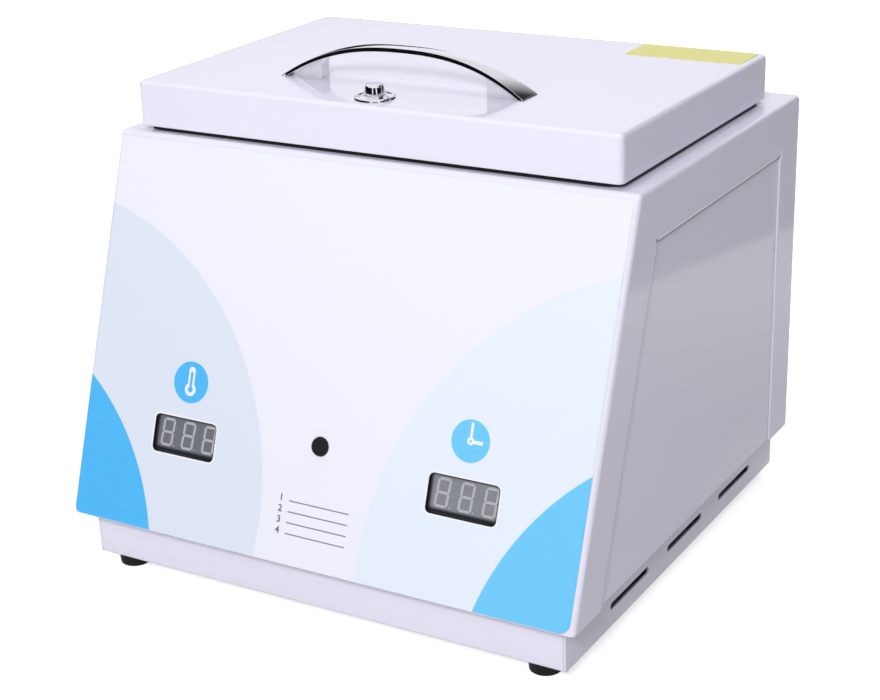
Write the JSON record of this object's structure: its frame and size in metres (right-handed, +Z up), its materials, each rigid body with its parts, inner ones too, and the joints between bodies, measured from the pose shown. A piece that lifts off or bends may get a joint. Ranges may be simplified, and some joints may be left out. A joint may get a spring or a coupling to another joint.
{
  "type": "dry heat sterilizer",
  "caption": "Bench sterilizer: white sheet metal cabinet with a slanted front panel, a heated steel chamber, and a hinged insulated lid with a bow handle and a latch button.",
  "frame": {"origin": "on the bench surface, under the middle of the object's bounding box", "axes": "+Z up, -Y towards the user (the slanted front panel faces -Y), +X to the user's right"},
  "size_m": [0.29, 0.2742, 0.2628],
  "materials": {
    "white_paint": "gloss",
    "label_film": "satin",
    "display_plastic": "satin",
    "black_plastic": "satin",
    "rubber": "matte",
    "chrome": "polished",
    "steel": "brushed",
    "zinc": "satin",
    "silicone": "matte",
    "glass_wool": "matte",
    "green_board": "satin",
    "heater_mat": "matte",
    "yellow_film": "satin",
    "brass": "satin",
    "nylon": "satin",
    "coil_tape": "satin",
    "relay_blue": "satin"
  },
  "bodies": {
    "cabinet": {"base_tray": "white_paint", "hood_shell": "white_paint", "side_panel_right": "white_paint", "side_panel_left": "white_paint", "front_label": "label_film", "temperature_display": "display_plastic", "timer_display": "display_plastic", "mains_inlet": "black_plastic", "power_switch_frame": "black_plastic", "fuse_holder": "black_plastic", "foot_1": "rubber", "foot_2": "rubber", "foot_3": "rubber", "foot_4": "rubber", "chamber": "steel", "temperature_probe": "steel", "program_switch": "steel", "hinge_base_left": "steel", "hinge_base_right": "steel", "hinge_pin_left": "steel", "hinge_pin_right": "steel", "insulation_jacket": "zinc", "thermal_cutout": "zinc", "inlet_pin_live": "zinc", "inlet_pin_earth": "zinc", "inlet_pin_neutral": "zinc", "inlet_screw_1": "zinc", "inlet_screw_2": "zinc", "hood_screw_1": "zinc", "hood_screw_2": "zinc", "foot_screw_1": "zinc", "foot_screw_2": "zinc", "foot_screw_3": "zinc", "foot_screw_4": "zinc", "chamber_insulation": "glass_wool", "control_board": "green_board", "power_board": "green_board", "heater_band": "heater_mat", "board_spacer_1": "brass", "board_spacer_2": "brass", "board_spacer_3": "brass", "board_spacer_4": "brass", "latch_keeper": "nylon", "transformer": "coil_tape", "relay": "relay_blue"},
    "lid": {"lid_shell": "white_paint", "lid_liner": "steel", "lid_insulation": "glass_wool", "lid_gasket": "silicone", "lid_handle": "chrome", "handle_screw_1": "zinc", "handle_screw_2": "zinc", "latch_flange": "chrome", "hinge_lid_left": "steel", "hinge_lid_right": "steel", "caution_sticker": "yellow_film"},
    "latch": {"latch_button": "chrome"},
    "button": {"program_button": "black_plastic"},
    "rocker": {"power_rocker": "black_plastic"}
  },
  "joints": [
    {"name": "lid_hinge", "type": "hinge", "parent": "cabinet", "child": "lid", "pos_m": [0, 0.11326, 0.2229], "axis": [-1, 0, 0], "range_deg": [0, 100]},
    {"name": "latch_press", "type": "slide", "parent": "lid", "child": "latch", "axis": [0, 0, -1], "range_m": [0, 0.003], "stiffness_N_per_m": 400, "springref_m": -0.003},
    {"name": "program_press", "type": "slide", "parent": "cabinet", "child": "button", "axis": [0, 0.94, -0.3412], "range_m": [0, 0.0008], "stiffness_N_per_m": 600, "springref_m": -0.001},
    {"name": "power_rock", "type": "hinge", "parent": "cabinet", "child": "rocker", "pos_m": [-0.022, 0.13156, 0.076], "axis": [-1, 0, 0], "range_deg": [0, 20]}
  ]
}
